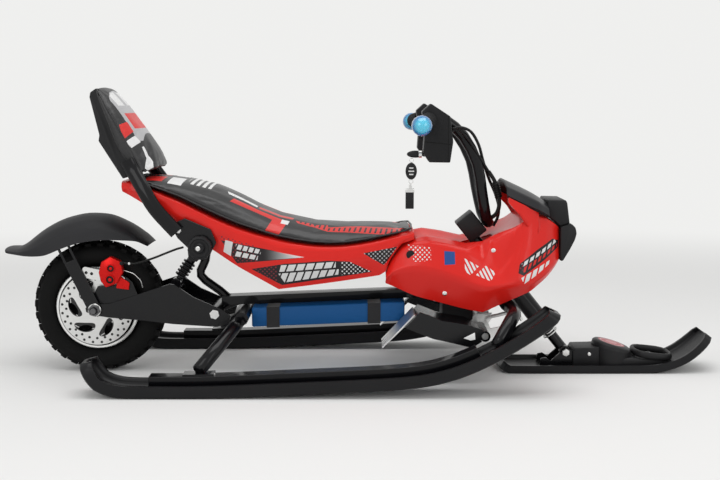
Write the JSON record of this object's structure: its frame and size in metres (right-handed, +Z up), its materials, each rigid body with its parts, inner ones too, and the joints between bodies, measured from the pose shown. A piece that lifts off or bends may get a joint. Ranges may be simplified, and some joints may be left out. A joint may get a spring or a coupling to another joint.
{
  "type": "electric snow scooter",
  "caption": "low electric snow scooter for a child: driven rear wheel, side runners, steered front ski, long saddle with backrest and a small cowl",
  "frame": {"origin": "on the floor, under the middle of the length and width", "axes": "+X forward, +Y to the rider's left, +Z up"},
  "size_m": [1.4479, 0.47, 0.5815],
  "materials": {
    "tyre_rubber": "moulded rubber, matt",
    "black_paint": "powder coat, semi-gloss",
    "bright_steel": "zinc plated",
    "black_plastic": "moulded, fine grain",
    "smoked_visor": "moulded, satin",
    "red_plastic": "moulded, glossy",
    "seat_vinyl": "printed vinyl over foam",
    "blue_wrap": "shrink film",
    "webbing": "woven strap",
    "red_paint": "anodised",
    "grip_rubber": "ribbed",
    "blue_clear": "clear tinted ball"
  },
  "bodies": {
    "chassis": {"main_frame": "black_paint", "swing_arm": "black_paint", "swing_pivot_bolt": "bright_steel", "rear_axle": "bright_steel", "shock_absorber": "bright_steel", "rear_leg_bridge": "black_paint", "front_leg_bridge": "black_paint", "seat_base": "red_plastic", "seat_cushion": "seat_vinyl", "seat_pan": "black_plastic", "backrest_shell": "black_plastic", "backrest_pad": "seat_vinyl", "backrest_arm_right": "black_paint", "backrest_arm_left": "black_paint", "saddle_bracket_right": "black_paint", "saddle_bracket_left": "black_paint", "saddle_knob_right": "black_plastic", "saddle_knob_left": "black_plastic", "front_cowl": "red_plastic", "windshield": "smoked_visor", "lamp_housing": "black_plastic", "nose_cover": "black_plastic", "battery_pack": "blue_wrap", "battery_strap_rear": "webbing", "battery_strap_front": "webbing", "controller_box": "black_paint", "rear_fender": "black_plastic", "fender_stay_right": "black_paint", "fender_stay_left": "black_paint", "brake_caliper": "red_paint", "foot_brake_shaft": "bright_steel", "foot_plate_right": "black_paint", "foot_plate_left": "black_paint", "brake_claw_right": "bright_steel", "brake_claw_left": "bright_steel", "runner_ski_right": "black_plastic", "runner_ski_left": "black_plastic", "runner_rail_right": "black_paint", "runner_rail_left": "black_paint"},
    "rear_wheel": {"tyre": "tyre_rubber", "wheel_hub": "black_paint", "brake_rotor": "bright_steel"},
    "steering": {"steering_column": "black_paint", "stem_cover": "black_plastic", "handlebar": "black_paint", "bar_housing_right": "black_plastic", "bar_housing_left": "black_plastic", "grip_right": "grip_rubber", "grip_left": "grip_rubber", "grip_end_right": "blue_clear", "grip_end_left": "blue_clear", "ignition_key": "black_plastic", "control_cable": "grip_rubber"},
    "front_ski_body": {"front_ski": "black_plastic", "ski_bracket": "black_paint", "rope_reel": "black_plastic", "reel_handle": "black_plastic"}
  },
  "joints": [
    {"name": "wheel_spin", "type": "hinge", "parent": "chassis", "child": "rear_wheel", "pos_m": [-0.5365, 0, 0.135], "axis": [0, 1, 0], "continuous": true},
    {"name": "steering", "type": "hinge", "parent": "chassis", "child": "steering", "pos_m": [0.376, 0, 0.1], "axis": [-0.6266, 0, 0.7793], "range_deg": [-30, 30]},
    {"name": "ski_pitch", "type": "hinge", "parent": "steering", "child": "front_ski_body", "pos_m": [0.42424, 0, 0.04], "axis": [0, 1, 0], "range_deg": [-12, 12]}
  ]
}
